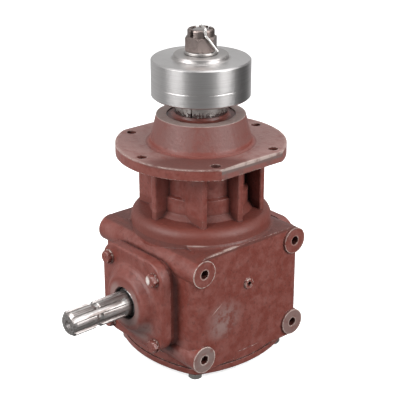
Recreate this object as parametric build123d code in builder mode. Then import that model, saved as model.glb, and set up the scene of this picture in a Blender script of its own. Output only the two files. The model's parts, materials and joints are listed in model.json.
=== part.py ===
from build123d import *
import os
from math import atan, atan2, cos, hypot, pi, radians, sin, sqrt, tan

os.makedirs("parts", exist_ok=True)

# Right angle bevel gearbox, millimetres.
# The origin is the centre of the deck flange's upper face, on the output shaft's axis.
# +Z runs up the output shaft to the blade hub, and the input shaft comes out along -Y.

# ---------------------------------------------------------------- driving dimensions

INPUT_Z = -202.0              # height of the input shaft's axis

# Deck flange and the nose above it
FLANGE_R = 116.5
FLANGE_THICKNESS = 14.75
FLANGE_FLAT = 103.5           # half width across the two flats, along X
FLANGE_HOLE_R = 6.75
FLANGE_PCD = 203.2
FLANGE_HOLES = 6
NOSE_TOP_Z = 39.0
NOSE_TOP_R = 60.5
NOSE_BASE_R = 69.0

# Bearing tube, ribs and shoulder below the flange
TUBE_R = 60.0
TUBE_LOWER_R = 65.0
TUBE_STEP_Z = -64.0
RIB_THICKNESS = 9.5
AXIAL_RIB_REACH_X = 82.0
AXIAL_RIB_REACH_Y = 84.0
CORNER_RIB_REACH = 68.9
CORNER_RIB_Y = 51.7
SHOULDER_R = 97.0
SHOULDER_Z = -92.2            # top of the shoulder, beside the tube
SKIRT_Z = -113.0              # where the shoulder starts to flare into the roof

# Gear case
CASE_HALF_X = 100.0
CASE_HALF_Y = 97.0
CASE_CORNER_R = 15.0          # upright corners
CASE_EDGE_R = 20.5            # long edges along X
CASE_BOTTOM_Z = -289.5
FOOT_HEIGHT = 12.0            # rim round the base that the cover bolts to
WALL = 9.0
BEARING_RING_Y = 82.0         # inner end of the rings that hold the input bearings' cups
CHAMBER_TOP_Z = -130.0
CHAMBER_BOTTOM_Z = -275.0
BASE_OPENING_R = 88.0

# Side mounting bosses, four on each X face
BOSS_SPACING_Y = 165.1
BOSS_SPACING_Z = 127.0
BOSS_R = 18.8
BOSS_FACE_X = 103.5
BOSS_HOLE_R = 6.25

# Bearing caps on the two Y faces
CAP_Z = -197.5                # middle of the cap's square plate
CAP_HALF_X = 65.5
CAP_HALF_Z = 66.0
CAP_CORNER_R = 28.0
CAP_THICKNESS = 14.3
NECK_HALF = 61.5              # the case's necks behind the cap plates
NECK_CORNER_R = 20.0
CAP_SEAT_Y = 108.0            # distance of the machined cap seats from the output axis
CAP_FRONT_Y = 137.0           # face of the input cap's dome
CAP_BOLT_SPACING = 98.0
DOME_BASE_R = 51.0
DOME_TOP_R = 37.0
CAP_HOLE_R = 22.5
GASKET = 1.0

# Base cover
COVER_HALF = 102.0
COVER_BOW = 20.0              # how far the cover's sides bow out past its corners
COVER_CORNER_R = 15.0
COVER_THICKNESS = 9.5
COVER_BOLT_R = 104.0          # radius of the corner bolts from the output axis

# Bevel gears
MODULE = 6.0
INPUT_TEETH = 22
OUTPUT_TEETH = 15
FACE_WIDTH = 23.0
PRESSURE_ANGLE = 20.0
BACKLASH = 0.4
OUTPUT_ANGLE = atan2(OUTPUT_TEETH, INPUT_TEETH)     # pitch angle of the output pinion
CONE_DISTANCE = MODULE / 2 * hypot(INPUT_TEETH, OUTPUT_TEETH)
TOE_SCALE = (CONE_DISTANCE - FACE_WIDTH) / CONE_DISTANCE

# Tapered roller bearings: bore radius, outer radius and width
OUTPUT_UPPER_BEARING = (25.0, 45.0, 21.0)
OUTPUT_LOWER_BEARING = (27.5, 50.0, 22.0)
INPUT_BEARING = (20.0, 40.0, 19.0)
ROLLER_GAP = 0.25             # free space between the rollers and both races

# Shafts
SPLINES = 6
SPLINE_R = 17.45              # 1-3/8 inch, six splines
SPLINE_ROOT_R = 14.75
SPLINE_WIDTH = 8.7
SPLINE_END_Y = -229.0
SPLINE_TURN = 10.0
SPLINE_CHAMFER = 3.9
SPLINE_INNER_Y = -131.0       # start of the seal journal behind the splines
SPLINE_RUNOUT = 20.0          # length over which the splines' grooves rise out of the shaft
DETENT_OFFSET = 41.0          # detent groove from the shaft's end
DETENT_R = 6.8
JOURNAL_R = 20.0
GEAR_SEAT_R = 23.0
GEAR_COLLAR_R = 27.0
UPPER_SEAT_R = OUTPUT_UPPER_BEARING[0]
LOWER_SEAT_R = OUTPUT_LOWER_BEARING[0]
PINION_THREAD_R = 15.0
HUB_SEAT_R = 21.0
THREAD_R = 12.7
COLLAR_R = 34.6
COLLAR_SLOT = 2.2
COLLAR_SLOT_Z = 36.0
SLOT_ANGLE = radians(-62)
SHAFT_TOP_Z = 153.5

# Blade hub and its fixings
HUB_R = 66.8
HUB_BOTTOM_Z = 64.0
HUB_TOP_Z = 115.5
HUB_LINE_Z = 82.6             # fine turned line round the hub
HUB_BOSS_R = 36.6
HUB_BOSS_Z = 121.5
WASHER_R = 22.4
WASHER_TOP_Z = 126.0
NUT_R = 22.0                  # castle nut, across the corners
NUT_HEX_TOP_Z = 145.5
NUT_TOP_Z = 155.0
CROWN_R = 18.0
NUT_TURN = 7.3                # turn of the castle nut on its thread
NUT_SLOT = 5.2
COTTER_R = 2.2
COTTER_LEG_R = 1.6
COTTER_Z = 149.2

# Fixings
BASE_BOLT_R = 6.0
BASE_BOLT_DEPTH = 15.5        # thread depth in the case
CAP_BOLT_R = 5.0
CAP_WASHER = 1.8
PLUG_THREAD_R = 6.0
PLUG_HEAD_R = 7.5
VENT_THREAD_R = 6.0
VENT_PAD_R = 11.0
DRAIN_THREAD_R = 9.0
DRAIN_PAD_R = 16.0
SEAL_R = 31.0                 # input oil seal, outside
SEAL_GAP = 0.3                # seal lips stand this far off their shafts
PINION_SEAT_R = 22.0
PINION_KEY = 4.0              # half the width of the keys
GEAR_KEY = 5.0
HUB_KEY = 5.0

# Stations along the two shafts
UPPER_CONE_Z = 24.0           # back faces of the bearing cones
LOWER_CONE_Z = -102.0
CONE_BACK_Y = 87.0
CUP_BACK_Y = CONE_BACK_Y + INPUT_BEARING[2]
GEAR_BACK_Y = 75.0
GEAR_FRONT_Y = TOE_SCALE * (MODULE * OUTPUT_TEETH / 2 + 1.2 * MODULE * cos(OUTPUT_ANGLE))
PINION_FRONT_Z = INPUT_Z + TOE_SCALE * (MODULE * INPUT_TEETH / 2 + 1.2 * MODULE * sin(OUTPUT_ANGLE))
PINION_NUT_Z = -166.0         # underside of the pinion's nut
UPPER_NOSE_Z = UPPER_CONE_Z - 0.92 * OUTPUT_UPPER_BEARING[2]
LOWER_NOSE_Z = LOWER_CONE_Z + 0.92 * OUTPUT_LOWER_BEARING[2]

# ---------------------------------------------------------------- frames and helpers

LEVEL_PLANE = Plane(origin=(CASE_HALF_X + 0.6, -1.5, -178), z_dir=(1, 0, 0))
VENT_PLANE = Plane(origin=(-76, 76, -113))
COTTER_TURN = radians(NUT_TURN - 30)
COTTER_PLANE = Plane(
    origin=(0, 0, COTTER_Z), x_dir=(-sin(COTTER_TURN), cos(COTTER_TURN), 0),
    z_dir=(cos(COTTER_TURN), sin(COTTER_TURN), 0),
)
DRAIN_PLANE = Plane(origin=(0, 0, CASE_BOTTOM_Z - GASKET - COVER_THICKNESS - 2.5), z_dir=(0, 0, -1))

INPUT_PLANE = Plane(origin=(0, 0, INPUT_Z))
INPUT_AXIS = Axis((0, 0, INPUT_Z), (0, 1, 0))
COVER_TOP_Z = CASE_BOTTOM_Z - GASKET
COVER_BOTTOM_Z = COVER_TOP_Z - COVER_THICKNESS
CAP_BACK_Y = CAP_SEAT_Y + GASKET
CAP_PLATE_Y = CAP_BACK_Y + CAP_THICKNESS


def save(piece, label):
    """Label a finished piece and write its STEP file."""
    piece.label = label
    export_step(piece, f"parts/{label}.step")


def turned(points, plane=Plane.XZ, axis=Axis.Z):
    """A solid turned from an outline of (radius, distance along the axis) points."""
    with BuildPart() as piece:
        with BuildSketch(plane):
            with BuildLine():
                Polyline(*points, close=True)
            make_face()
        revolve(axis=axis)
    return piece.part


def ring(inner, outer, low, high, plane=Plane.XZ, axis=Axis.Z):
    """A plain ring between two radii and two distances along the axis."""
    return turned([(inner, low), (outer, low), (outer, high), (inner, high)], plane, axis)


def input_ring(inner, outer, low, high):
    """A plain ring on the input shaft's axis, between two Y positions."""
    return ring(inner, outer, low, high, INPUT_PLANE, INPUT_AXIS)


def end_plane(side, distance, z=INPUT_Z):
    """A plane across Y at this distance, facing away from the case; side is -1 or 1."""
    return Plane(origin=(0, side * distance, z), x_dir=(-side, 0, 0), z_dir=(0, side, 0))


def bowed_square(half, bow, corner):
    """A square outline with bowed sides and rounded corners."""
    near = half - bow
    with BuildSketch() as outline:
        with BuildLine():
            ThreePointArc((near, -near), (half, 0), (near, near))
            ThreePointArc((near, near), (0, half), (-near, near))
            ThreePointArc((-near, near), (-half, 0), (-near, -near))
            ThreePointArc((-near, -near), (0, -half), (near, -near))
        make_face()
        fillet(outline.vertices(), corner)
    return outline.sketch


def hex_bolt(shank_r, length, across_flats, head):
    """A hexagon bolt along Z: the head stands on Z = 0 and the shank runs down."""
    corner_r = across_flats / sqrt(3)
    with BuildPart() as bolt:
        with BuildSketch():
            RegularPolygon(corner_r, 6)
        extrude(amount=head)
        with BuildSketch(Plane.XZ):
            with BuildLine():
                top = across_flats / 2 * 0.95
                Polyline(
                    (0, 0), (corner_r, 0), (corner_r, head * 0.72), (top, head), (0, head), close=True,
                )
            make_face()
        revolve(axis=Axis.Z, mode=Mode.INTERSECT)
        Cylinder(shank_r, length, align=(Align.CENTER, Align.CENTER, Align.MAX))
        chamfer(bolt.faces().sort_by(Axis.Z)[0].edges(), shank_r * 0.18)
    return bolt.part


def washer(inner, outer, thickness):
    """A flat washer along Z, hanging below Z = 0."""
    with BuildPart() as disc:
        Cylinder(outer, thickness, align=(Align.CENTER, Align.CENTER, Align.MAX))
        Hole(inner)
    return disc.part


def socket_plug(thread_r, head_r, length, head, socket):
    """A flanged plug with a hexagon socket: the head stands on Z = 0."""
    with BuildPart() as plug:
        Cylinder(head_r, head, align=(Align.CENTER, Align.CENTER, Align.MIN))
        chamfer(plug.faces().sort_by(Axis.Z)[-1].edges(), head * 0.3)
        Cylinder(thread_r, length, align=(Align.CENTER, Align.CENTER, Align.MAX))
        with BuildSketch(Plane.XY.offset(head)):
            RegularPolygon(socket, 6)
        extrude(amount=-(head + length * 0.4), mode=Mode.SUBTRACT)
    return plug.part


# ---------------------------------------------------------------- housing

with BuildPart() as housing:
    # Gear case: a box with rounded upright corners, under a roof that flares up to the shoulder
    boss_y = BOSS_SPACING_Y / 2
    boss_z = BOSS_SPACING_Z / 2
    roof_z = INPUT_Z + boss_z + CASE_EDGE_R
    with BuildSketch(Plane.XY.offset(INPUT_Z - boss_z - CASE_EDGE_R)):
        RectangleRounded(2 * CASE_HALF_X, 2 * CASE_HALF_Y, CASE_CORNER_R)
    extrude(amount=2 * (boss_z + CASE_EDGE_R) + 10)
    with BuildSketch(Plane.XZ):
        reach = 2 * CASE_HALF_Y
        with BuildLine():
            Polyline(
                (0, CASE_BOTTOM_Z), (reach, CASE_BOTTOM_Z), (reach, roof_z), (SHOULDER_R + 12, roof_z),
                (SHOULDER_R + 4, roof_z + 0.7), (SHOULDER_R + 1.2, roof_z + 2), (SHOULDER_R, SKIRT_Z),
                (0, SKIRT_Z), close=True,
            )
        make_face()
    revolve(axis=Axis.Z, mode=Mode.INTERSECT)

    # Rounded edges along X, the side bosses, and the foot that the base cover bolts to
    with BuildSketch(Plane.YZ.offset(-CASE_HALF_X)):
        with Locations((0, INPUT_Z)):
            Rectangle(2 * CASE_HALF_Y, 2 * (boss_z + CASE_EDGE_R) + 20)
            RectangleRounded(2 * CASE_HALF_Y, 2 * (boss_z + CASE_EDGE_R), CASE_EDGE_R, mode=Mode.SUBTRACT)
            Rectangle(
                2 * (CASE_HALF_Y - CASE_EDGE_R), 2 * (boss_z + CASE_EDGE_R) + 20, mode=Mode.SUBTRACT,
            )
    extrude(amount=2 * CASE_HALF_X, mode=Mode.SUBTRACT)
    with BuildSketch(Plane.YZ.offset(-BOSS_FACE_X)):
        with Locations((0, INPUT_Z)):
            with GridLocations(BOSS_SPACING_Y, BOSS_SPACING_Z, 2, 2):
                Circle(BOSS_R)
    extrude(amount=2 * BOSS_FACE_X)
    with BuildSketch(Plane.XY.offset(CASE_BOTTOM_Z)):
        add(bowed_square(COVER_HALF - 0.8, COVER_BOW, COVER_CORNER_R))
    extrude(amount=FOOT_HEIGHT)

    # Bearing tube, shoulder, deck flange and nose, turned about the output axis
    with BuildSketch(Plane.XZ):
        with BuildLine():
            Polyline(
                (0, -135), (SHOULDER_R, -135), (SHOULDER_R, SHOULDER_Z - 13.5),
            )
            ThreePointArc(
                (SHOULDER_R, SHOULDER_Z - 13.5), (SHOULDER_R - 2.9, SHOULDER_Z - 5.4),
                (SHOULDER_R - 10.5, SHOULDER_Z - 1.4),
            )
            Polyline(
                (SHOULDER_R - 10.5, SHOULDER_Z - 1.4), (TUBE_LOWER_R + 7, SHOULDER_Z),
                (TUBE_LOWER_R, SHOULDER_Z + 7), (TUBE_LOWER_R, TUBE_STEP_Z), (TUBE_R, TUBE_STEP_Z + 2.5),
                (TUBE_R, -FLANGE_THICKNESS - 4), (TUBE_R + 4, -FLANGE_THICKNESS),
                (FLANGE_R, -FLANGE_THICKNESS), (FLANGE_R, 0), (NOSE_BASE_R + 4, 0),
                (NOSE_BASE_R + 1, 1.6), (NOSE_BASE_R, 5), (NOSE_TOP_R, NOSE_TOP_Z), (0, NOSE_TOP_Z),
                (0, -135),
            )
        make_face()
    revolve(axis=Axis.Z)

    # Ribs between the flange and the shoulder
    with BuildSketch(Plane.XY.offset(SHOULDER_Z - 6)):
        RectangleRounded(RIB_THICKNESS, 2 * AXIAL_RIB_REACH_Y, 2.5)
        RectangleRounded(2 * AXIAL_RIB_REACH_X, RIB_THICKNESS, 2.5)
        with GridLocations(0, 2 * CORNER_RIB_Y, 1, 2):
            RectangleRounded(2 * CORNER_RIB_REACH, RIB_THICKNESS - 1, 2.5)
    extrude(amount=-SHOULDER_Z + 6 - FLANGE_THICKNESS)

    # Square necks that carry the two bearing caps
    for side in (-1, 1):
        with BuildSketch(end_plane(side, CASE_HALF_Y - 2, CAP_Z)):
            RectangleRounded(2 * (NECK_HALF + 5), 2 * (NECK_HALF + 5), NECK_CORNER_R + 5)
        extrude(amount=6, taper=40)
        with BuildSketch(end_plane(side, CASE_HALF_Y - 2, CAP_Z)):
            RectangleRounded(2 * NECK_HALF, 2 * NECK_HALF, NECK_CORNER_R)
        extrude(amount=CAP_SEAT_Y - CASE_HALF_Y + 2)

    # Two flats on the deck flange
    with BuildSketch(Plane.XY.offset(-FLANGE_THICKNESS)):
        Rectangle(2 * FLANGE_R, 2 * FLANGE_R)
        Rectangle(2 * FLANGE_FLAT, 2 * FLANGE_R, mode=Mode.SUBTRACT)
    extrude(amount=FLANGE_THICKNESS, mode=Mode.SUBTRACT)

    # Gear chamber and the round opening in its floor
    with BuildSketch(Plane.XY.offset(CHAMBER_BOTTOM_Z)):
        RectangleRounded(2 * (CASE_HALF_X - WALL), 2 * (CASE_HALF_Y - WALL), CASE_CORNER_R - WALL)
    extrude(amount=CHAMBER_TOP_Z - CHAMBER_BOTTOM_Z, mode=Mode.SUBTRACT)
    with BuildSketch(Plane.XY.offset(CASE_BOTTOM_Z)):
        Circle(BASE_OPENING_R)
    extrude(amount=CHAMBER_BOTTOM_Z - CASE_BOTTOM_Z, mode=Mode.SUBTRACT)

    # The bosses run right through the chamber, and each bearing has a ring inside the wall
    with BuildSketch(Plane.YZ.offset(-CASE_HALF_X + WALL)):
        with Locations((0, INPUT_Z)):
            with GridLocations(BOSS_SPACING_Y, BOSS_SPACING_Z, 2, 2):
                Circle(BOSS_HOLE_R + 6)
    extrude(amount=2 * (CASE_HALF_X - WALL))
    for side in (-1, 1):
        with BuildSketch(end_plane(side, BEARING_RING_Y)):
            Circle(INPUT_BEARING[1] + 10)
        extrude(amount=CASE_HALF_Y - WALL / 2 - BEARING_RING_Y)
        with BuildSketch(end_plane(side, BEARING_RING_Y - 1)):
            Circle(INPUT_BEARING[1])
        extrude(amount=CAP_SEAT_Y, mode=Mode.SUBTRACT)

    # Bores for the output shaft: seal pocket, two cup seats with lips, and the cored middle
    upper_cup_r = OUTPUT_UPPER_BEARING[1]
    lower_cup_r = OUTPUT_LOWER_BEARING[1]
    with BuildSketch(Plane.XZ):
        with BuildLine():
            Polyline(
                (0, NOSE_TOP_Z), (46.5, NOSE_TOP_Z), (46.5, 26), (upper_cup_r, 26), (upper_cup_r, 3),
                (39, 3), (39, -4), (50, -12), (50, -64), (43, -72), (43, -80), (lower_cup_r, -80),
                (lower_cup_r, CHAMBER_TOP_Z - 1), (0, CHAMBER_TOP_Z - 1), close=True,
            )
        make_face()
    revolve(axis=Axis.Z, mode=Mode.SUBTRACT)
    with BuildSketch(Plane.XZ):
        with BuildLine():
            Polyline(
                (lower_cup_r + 8, CHAMBER_TOP_Z - 1), (lower_cup_r + 8, -106),
                (87, -106), (87, CHAMBER_TOP_Z - 1), close=True,
            )
        make_face()
    revolve(axis=Axis.Z, mode=Mode.SUBTRACT)

    # Holes: deck flange, side bosses right through, cap bolts, base bolts, oil level and vent
    with PolarLocations(FLANGE_PCD / 2, FLANGE_HOLES, start_angle=30):
        Hole(FLANGE_HOLE_R, depth=FLANGE_THICKNESS)
    with BuildSketch(Plane.YZ.offset(-BOSS_FACE_X)):
        with Locations((0, INPUT_Z)):
            with GridLocations(BOSS_SPACING_Y, BOSS_SPACING_Z, 2, 2):
                Circle(BOSS_HOLE_R)
    extrude(amount=2 * BOSS_FACE_X, mode=Mode.SUBTRACT)
    for side in (-1, 1):
        with Locations(end_plane(side, CAP_SEAT_Y)):
            with GridLocations(CAP_BOLT_SPACING, CAP_BOLT_SPACING, 2, 2):
                Hole(CAP_BOLT_R, depth=24)
    with Locations(Plane(origin=(0, 0, CASE_BOTTOM_Z), z_dir=(0, 0, -1))):
        with PolarLocations(COVER_BOLT_R, 4, start_angle=45):
            Hole(BASE_BOLT_R, depth=BASE_BOLT_DEPTH)
    with Locations(LEVEL_PLANE):
        Cylinder(PLUG_HEAD_R + 1, 3, align=(Align.CENTER, Align.CENTER, Align.MAX))
        Hole(PLUG_THREAD_R, depth=WALL + 1)
    with Locations(VENT_PLANE):
        Cylinder(VENT_PAD_R, 12, align=(Align.CENTER, Align.CENTER, Align.MAX))
        Hole(VENT_THREAD_R, depth=24)
save(housing.part, "housing")

# ---------------------------------------------------------------- base cover

with BuildPart() as base_gasket:
    with BuildSketch(Plane.XY.offset(COVER_TOP_Z)):
        add(bowed_square(COVER_HALF - 1.5, COVER_BOW, COVER_CORNER_R))
        Circle(BASE_OPENING_R, mode=Mode.SUBTRACT)
        with PolarLocations(COVER_BOLT_R, 4, start_angle=45):
            Circle(BASE_BOLT_R, mode=Mode.SUBTRACT)
    extrude(amount=GASKET)
save(base_gasket.part, "base_gasket")

with BuildPart() as base_cover:
    with BuildSketch(Plane.XY.offset(COVER_BOTTOM_Z)):
        add(bowed_square(COVER_HALF, COVER_BOW, COVER_CORNER_R))
    extrude(amount=COVER_THICKNESS)
    fillet(base_cover.faces().sort_by(Axis.Z)[0].edges(), 2.5)
    with Locations((0, 0, COVER_TOP_Z)):
        Cylinder(BASE_OPENING_R - 0.5, 3 + GASKET, align=(Align.CENTER, Align.CENTER, Align.MIN))
        Cylinder(
            BASE_OPENING_R - 12, 3 + GASKET, align=(Align.CENTER, Align.CENTER, Align.MIN), mode=Mode.SUBTRACT,
        )
    with Locations((0, 0, COVER_BOTTOM_Z)):
        Cylinder(DRAIN_PAD_R, 2.5, align=(Align.CENTER, Align.CENTER, Align.MAX))
    with Locations(Plane(origin=(0, 0, COVER_BOTTOM_Z), z_dir=(0, 0, -1))):
        with PolarLocations(COVER_BOLT_R, 4, start_angle=45):
            Hole(BASE_BOLT_R, depth=COVER_THICKNESS)
    with Locations(DRAIN_PLANE):
        Hole(DRAIN_THREAD_R, depth=COVER_THICKNESS + 3)
save(base_cover.part, "base_cover")

base_bolt = hex_bolt(BASE_BOLT_R, COVER_THICKNESS + GASKET + BASE_BOLT_DEPTH - 0.5, 18, 7.5)
with BuildPart(Plane(origin=(0, 0, COVER_BOTTOM_Z), z_dir=(0, 0, -1))) as base_bolts:
    with PolarLocations(COVER_BOLT_R, 4, start_angle=45):
        add(base_bolt)
save(base_bolts.part, "base_bolts")

with BuildPart(DRAIN_PLANE) as drain_plug:
    add(socket_plug(DRAIN_THREAD_R, DRAIN_THREAD_R + 3, COVER_THICKNESS + 1, 2.5, 5.8))
save(drain_plug.part, "drain_plug")

with BuildPart(LEVEL_PLANE) as oil_level_plug:
    add(socket_plug(PLUG_THREAD_R, PLUG_HEAD_R, WALL, 2, 3.6))
save(oil_level_plug.part, "oil_level_plug")

with BuildPart(VENT_PLANE) as vent_plug:
    add(hex_bolt(VENT_THREAD_R, 12, 16, 7))
    with Locations((0, 0, 7)):
        Cylinder(4.5, 3, align=(Align.CENTER, Align.CENTER, Align.MIN))
    with Locations((0, 0, 10)):
        Cylinder(7.0, 5, align=(Align.CENTER, Align.CENTER, Align.MIN))
    fillet(vent_plug.faces().sort_by(Axis.Z)[-1].edges(), 2)
save(vent_plug.part, "vent_plug")

# ---------------------------------------------------------------- bearing caps

cap_bolt = hex_bolt(CAP_BOLT_R, CAP_THICKNESS + GASKET + CAP_WASHER + 20, 16, 6.5)
cap_washer = washer(CAP_BOLT_R, 9.6, CAP_WASHER)

for side, cap_name in ((-1, "input_cap"), (1, "rear_cap")):
    with BuildPart() as cap_gasket:
        with BuildSketch(end_plane(side, CAP_SEAT_Y, CAP_Z)):
            RectangleRounded(2 * NECK_HALF, 2 * NECK_HALF, NECK_CORNER_R)
        extrude(amount=GASKET)
        with Locations(end_plane(side, CAP_BACK_Y)):
            Hole(INPUT_BEARING[1] + 0.5)
            with GridLocations(CAP_BOLT_SPACING, CAP_BOLT_SPACING, 2, 2):
                Hole(CAP_BOLT_R)
    save(cap_gasket.part, f"{cap_name}_gasket")

    with BuildPart(end_plane(side, CAP_PLATE_Y)) as cap_washers:
        with GridLocations(CAP_BOLT_SPACING, CAP_BOLT_SPACING, 2, 2):
            add(cap_washer.moved(Location((0, 0, CAP_WASHER))))
    save(cap_washers.part, f"{cap_name}_washers")

    with BuildPart(end_plane(side, CAP_PLATE_Y + CAP_WASHER)) as cap_bolts:
        with GridLocations(CAP_BOLT_SPACING, CAP_BOLT_SPACING, 2, 2):
            add(cap_bolt)
    save(cap_bolts.part, f"{cap_name}_bolts")


def cap_plate(side, dome):
    """A square cap plate with a turned dome; dome is a (radius, distance from the axis) outline."""
    with BuildPart() as cap:
        with BuildSketch(end_plane(side, CAP_BACK_Y, CAP_Z)):
            RectangleRounded(2 * CAP_HALF_X, 2 * CAP_HALF_Z, CAP_CORNER_R)
        extrude(amount=CAP_THICKNESS)
        outer_face = cap.faces().sort_by(Axis.Y)[0 if side < 0 else -1]
        fillet(outer_face.edges(), 3)
        with BuildSketch(INPUT_PLANE):
            with BuildLine():
                Polyline(*[(radius, side * distance) for radius, distance in dome], close=True)
            make_face()
        revolve(axis=INPUT_AXIS)
        with Locations(end_plane(side, CAP_PLATE_Y)):
            with GridLocations(CAP_BOLT_SPACING, CAP_BOLT_SPACING, 2, 2):
                Hole(CAP_BOLT_R, depth=CAP_THICKNESS)
    return cap.part


input_dome = [
    (0, CAP_PLATE_Y - 4), (DOME_BASE_R + 3, CAP_PLATE_Y - 0.2), (DOME_BASE_R - 1.5, CAP_PLATE_Y + 1.2),
    (DOME_BASE_R - 5, CAP_PLATE_Y + 3.6), (DOME_TOP_R + 3, CAP_FRONT_Y - 2.5),
    (DOME_TOP_R + 1.2, CAP_FRONT_Y - 0.8),
    (DOME_TOP_R - 1, CAP_FRONT_Y), (0, CAP_FRONT_Y),
]
with BuildPart() as input_cap:
    add(cap_plate(-1, input_dome))
    add(input_ring(34.0, INPUT_BEARING[1], -CAP_BACK_Y, -CUP_BACK_Y))
    add(input_ring(0, SEAL_R, -CAP_FRONT_Y + 3, -CAP_BACK_Y), mode=Mode.SUBTRACT)
    add(input_ring(0, CAP_HOLE_R, -CAP_FRONT_Y - 1, -CAP_FRONT_Y + 4), mode=Mode.SUBTRACT)
    chamfer(input_cap.faces().sort_by(Axis.Y)[0].edges().sort_by(SortBy.RADIUS)[0], 0.8)
save(input_cap.part, "input_cap")

rear_dome = [
    (0, CAP_PLATE_Y - 4), (DOME_BASE_R, CAP_PLATE_Y - 0.2), (DOME_BASE_R - 3, CAP_PLATE_Y + 1.2),
    (DOME_BASE_R - 7, CAP_PLATE_Y + 4.5), (DOME_TOP_R, CAP_PLATE_Y + 5.5), (0, CAP_PLATE_Y + 5.5),
]
with BuildPart() as rear_cap:
    add(cap_plate(1, rear_dome))
    add(input_ring(34.0, INPUT_BEARING[1], CUP_BACK_Y, CAP_BACK_Y))
    add(input_ring(0, 34.0, CUP_BACK_Y, CAP_BACK_Y + 4), mode=Mode.SUBTRACT)
save(rear_cap.part, "rear_cap")

# ---------------------------------------------------------------- oil seals

save(
    turned(
        [
            (JOURNAL_R + SEAL_GAP, -CAP_FRONT_Y + 9), (JOURNAL_R + SEAL_GAP + 1.5, -CAP_FRONT_Y + 3.6),
            (SEAL_R - 3, -CAP_FRONT_Y + 3.6), (SEAL_R - 2, -CAP_FRONT_Y + 3), (SEAL_R, -CAP_FRONT_Y + 3),
            (SEAL_R, -CAP_FRONT_Y + 13), (JOURNAL_R + 4, -CAP_FRONT_Y + 13),
            (JOURNAL_R + 3, -CAP_FRONT_Y + 10),
        ],
        INPUT_PLANE, INPUT_AXIS,
    ),
    "input_oil_seal",
)
save(
    turned(
        [
            (COLLAR_R + SEAL_GAP, NOSE_TOP_Z - 6.5), (COLLAR_R + SEAL_GAP, NOSE_TOP_Z + 3),
            (COLLAR_R + 1.4, NOSE_TOP_Z + 3.4), (COLLAR_R + 3.2, NOSE_TOP_Z + 0.4),
            (COLLAR_R + 5.5, NOSE_TOP_Z - 1.2), (46.5, NOSE_TOP_Z - 1.2), (46.5, 26), (COLLAR_R + 3, 26),
            (COLLAR_R + 2.4, NOSE_TOP_Z - 8.5),
        ],
    ),
    "output_oil_seal",
)

# ---------------------------------------------------------------- tapered roller bearings

ROLLER_TILT = radians(12)     # angle between the rollers' axes and the shaft


def roller_bearing(label, frame, sizes, count):
    """Cup, cone, rollers and cage. The frame's origin is the cone's back face, with Z out of it."""
    bore_r, outer_r, width = sizes
    pitch_r = (bore_r + outer_r) / 2
    middle_z = -width / 2
    apex_z = middle_z - pitch_r / tan(ROLLER_TILT)
    reach = pitch_r / sin(ROLLER_TILT)
    roller_r = (outer_r - bore_r) * 0.215
    roller_half = width * 0.28
    half_angle = atan(roller_r / reach)
    race_angle = atan((roller_r + ROLLER_GAP) / reach)

    def cup_race(z):
        return (z - apex_z) * tan(ROLLER_TILT + race_angle)

    def cone_race(z):
        return (z - apex_z) * tan(ROLLER_TILT - race_angle)

    front = -width * 0.15
    cup_outline = [
        (outer_r, -width), (outer_r, front), (cup_race(front), front), (cup_race(-width), -width),
    ]
    rib = -width * 0.14
    nose = -width * 0.92
    nose_rib = -width * 0.86
    cone_outline = [
        (bore_r, 0), (cone_race(0) + 2.4, 0), (cone_race(rib) + 2.4, rib), (cone_race(rib), rib),
        (cone_race(nose_rib), nose_rib), (cone_race(nose_rib) + 1.2, nose_rib),
        (cone_race(nose) + 1.2, nose),
        (bore_r, nose),
    ]
    roller_plane = Plane(
        origin=(pitch_r, 0, middle_z), x_dir=(0, 1, 0), z_dir=(sin(ROLLER_TILT), 0, cos(ROLLER_TILT)),
    )

    def roller(grow):
        """One tapered roller, grown by this much all round."""
        half = roller_half + grow
        with BuildPart() as taper:
            for step in (-1, 1):
                with BuildSketch(roller_plane.offset(step * half)):
                    Circle(roller_r + grow + step * half * tan(half_angle))
            loft()
        return taper.part

    cage_low = middle_z - (roller_half + 2.6) * cos(ROLLER_TILT)
    cage_high = middle_z + (roller_half + 2.0) * cos(ROLLER_TILT)
    cage_outline = [
        ((z - apex_z) * tan(ROLLER_TILT) + offset, z)
        for z, offset in ((cage_low, -0.9), (cage_high, -0.9), (cage_high, 0.9), (cage_low, 0.9))
    ]

    with BuildPart(frame) as cup:
        add(turned(cup_outline))
    save(cup.part, f"{label}_cup")
    with BuildPart(frame) as cone:
        add(turned(cone_outline))
    save(cone.part, f"{label}_cone")
    with BuildPart(frame) as rollers:
        with PolarLocations(0, count):
            add(roller(0))
    save(rollers.part, f"{label}_rollers")
    with BuildPart(frame) as cage:
        add(turned(cage_outline))
        with PolarLocations(0, count):
            add(roller(0.3), mode=Mode.SUBTRACT)
    save(cage.part, f"{label}_cage")


roller_bearing("output_upper_bearing", Plane(origin=(0, 0, UPPER_CONE_Z)), OUTPUT_UPPER_BEARING, 18)
roller_bearing(
    "output_lower_bearing", Plane(origin=(0, 0, LOWER_CONE_Z), z_dir=(0, 0, -1)),
    OUTPUT_LOWER_BEARING, 18,
)
for side, label in ((-1, "input_front_bearing"), (1, "input_rear_bearing")):
    roller_bearing(label, end_plane(-side, -CONE_BACK_Y), INPUT_BEARING, 16)

# ---------------------------------------------------------------- bevel gears

def involute(angle):
    return tan(angle) - angle


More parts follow.
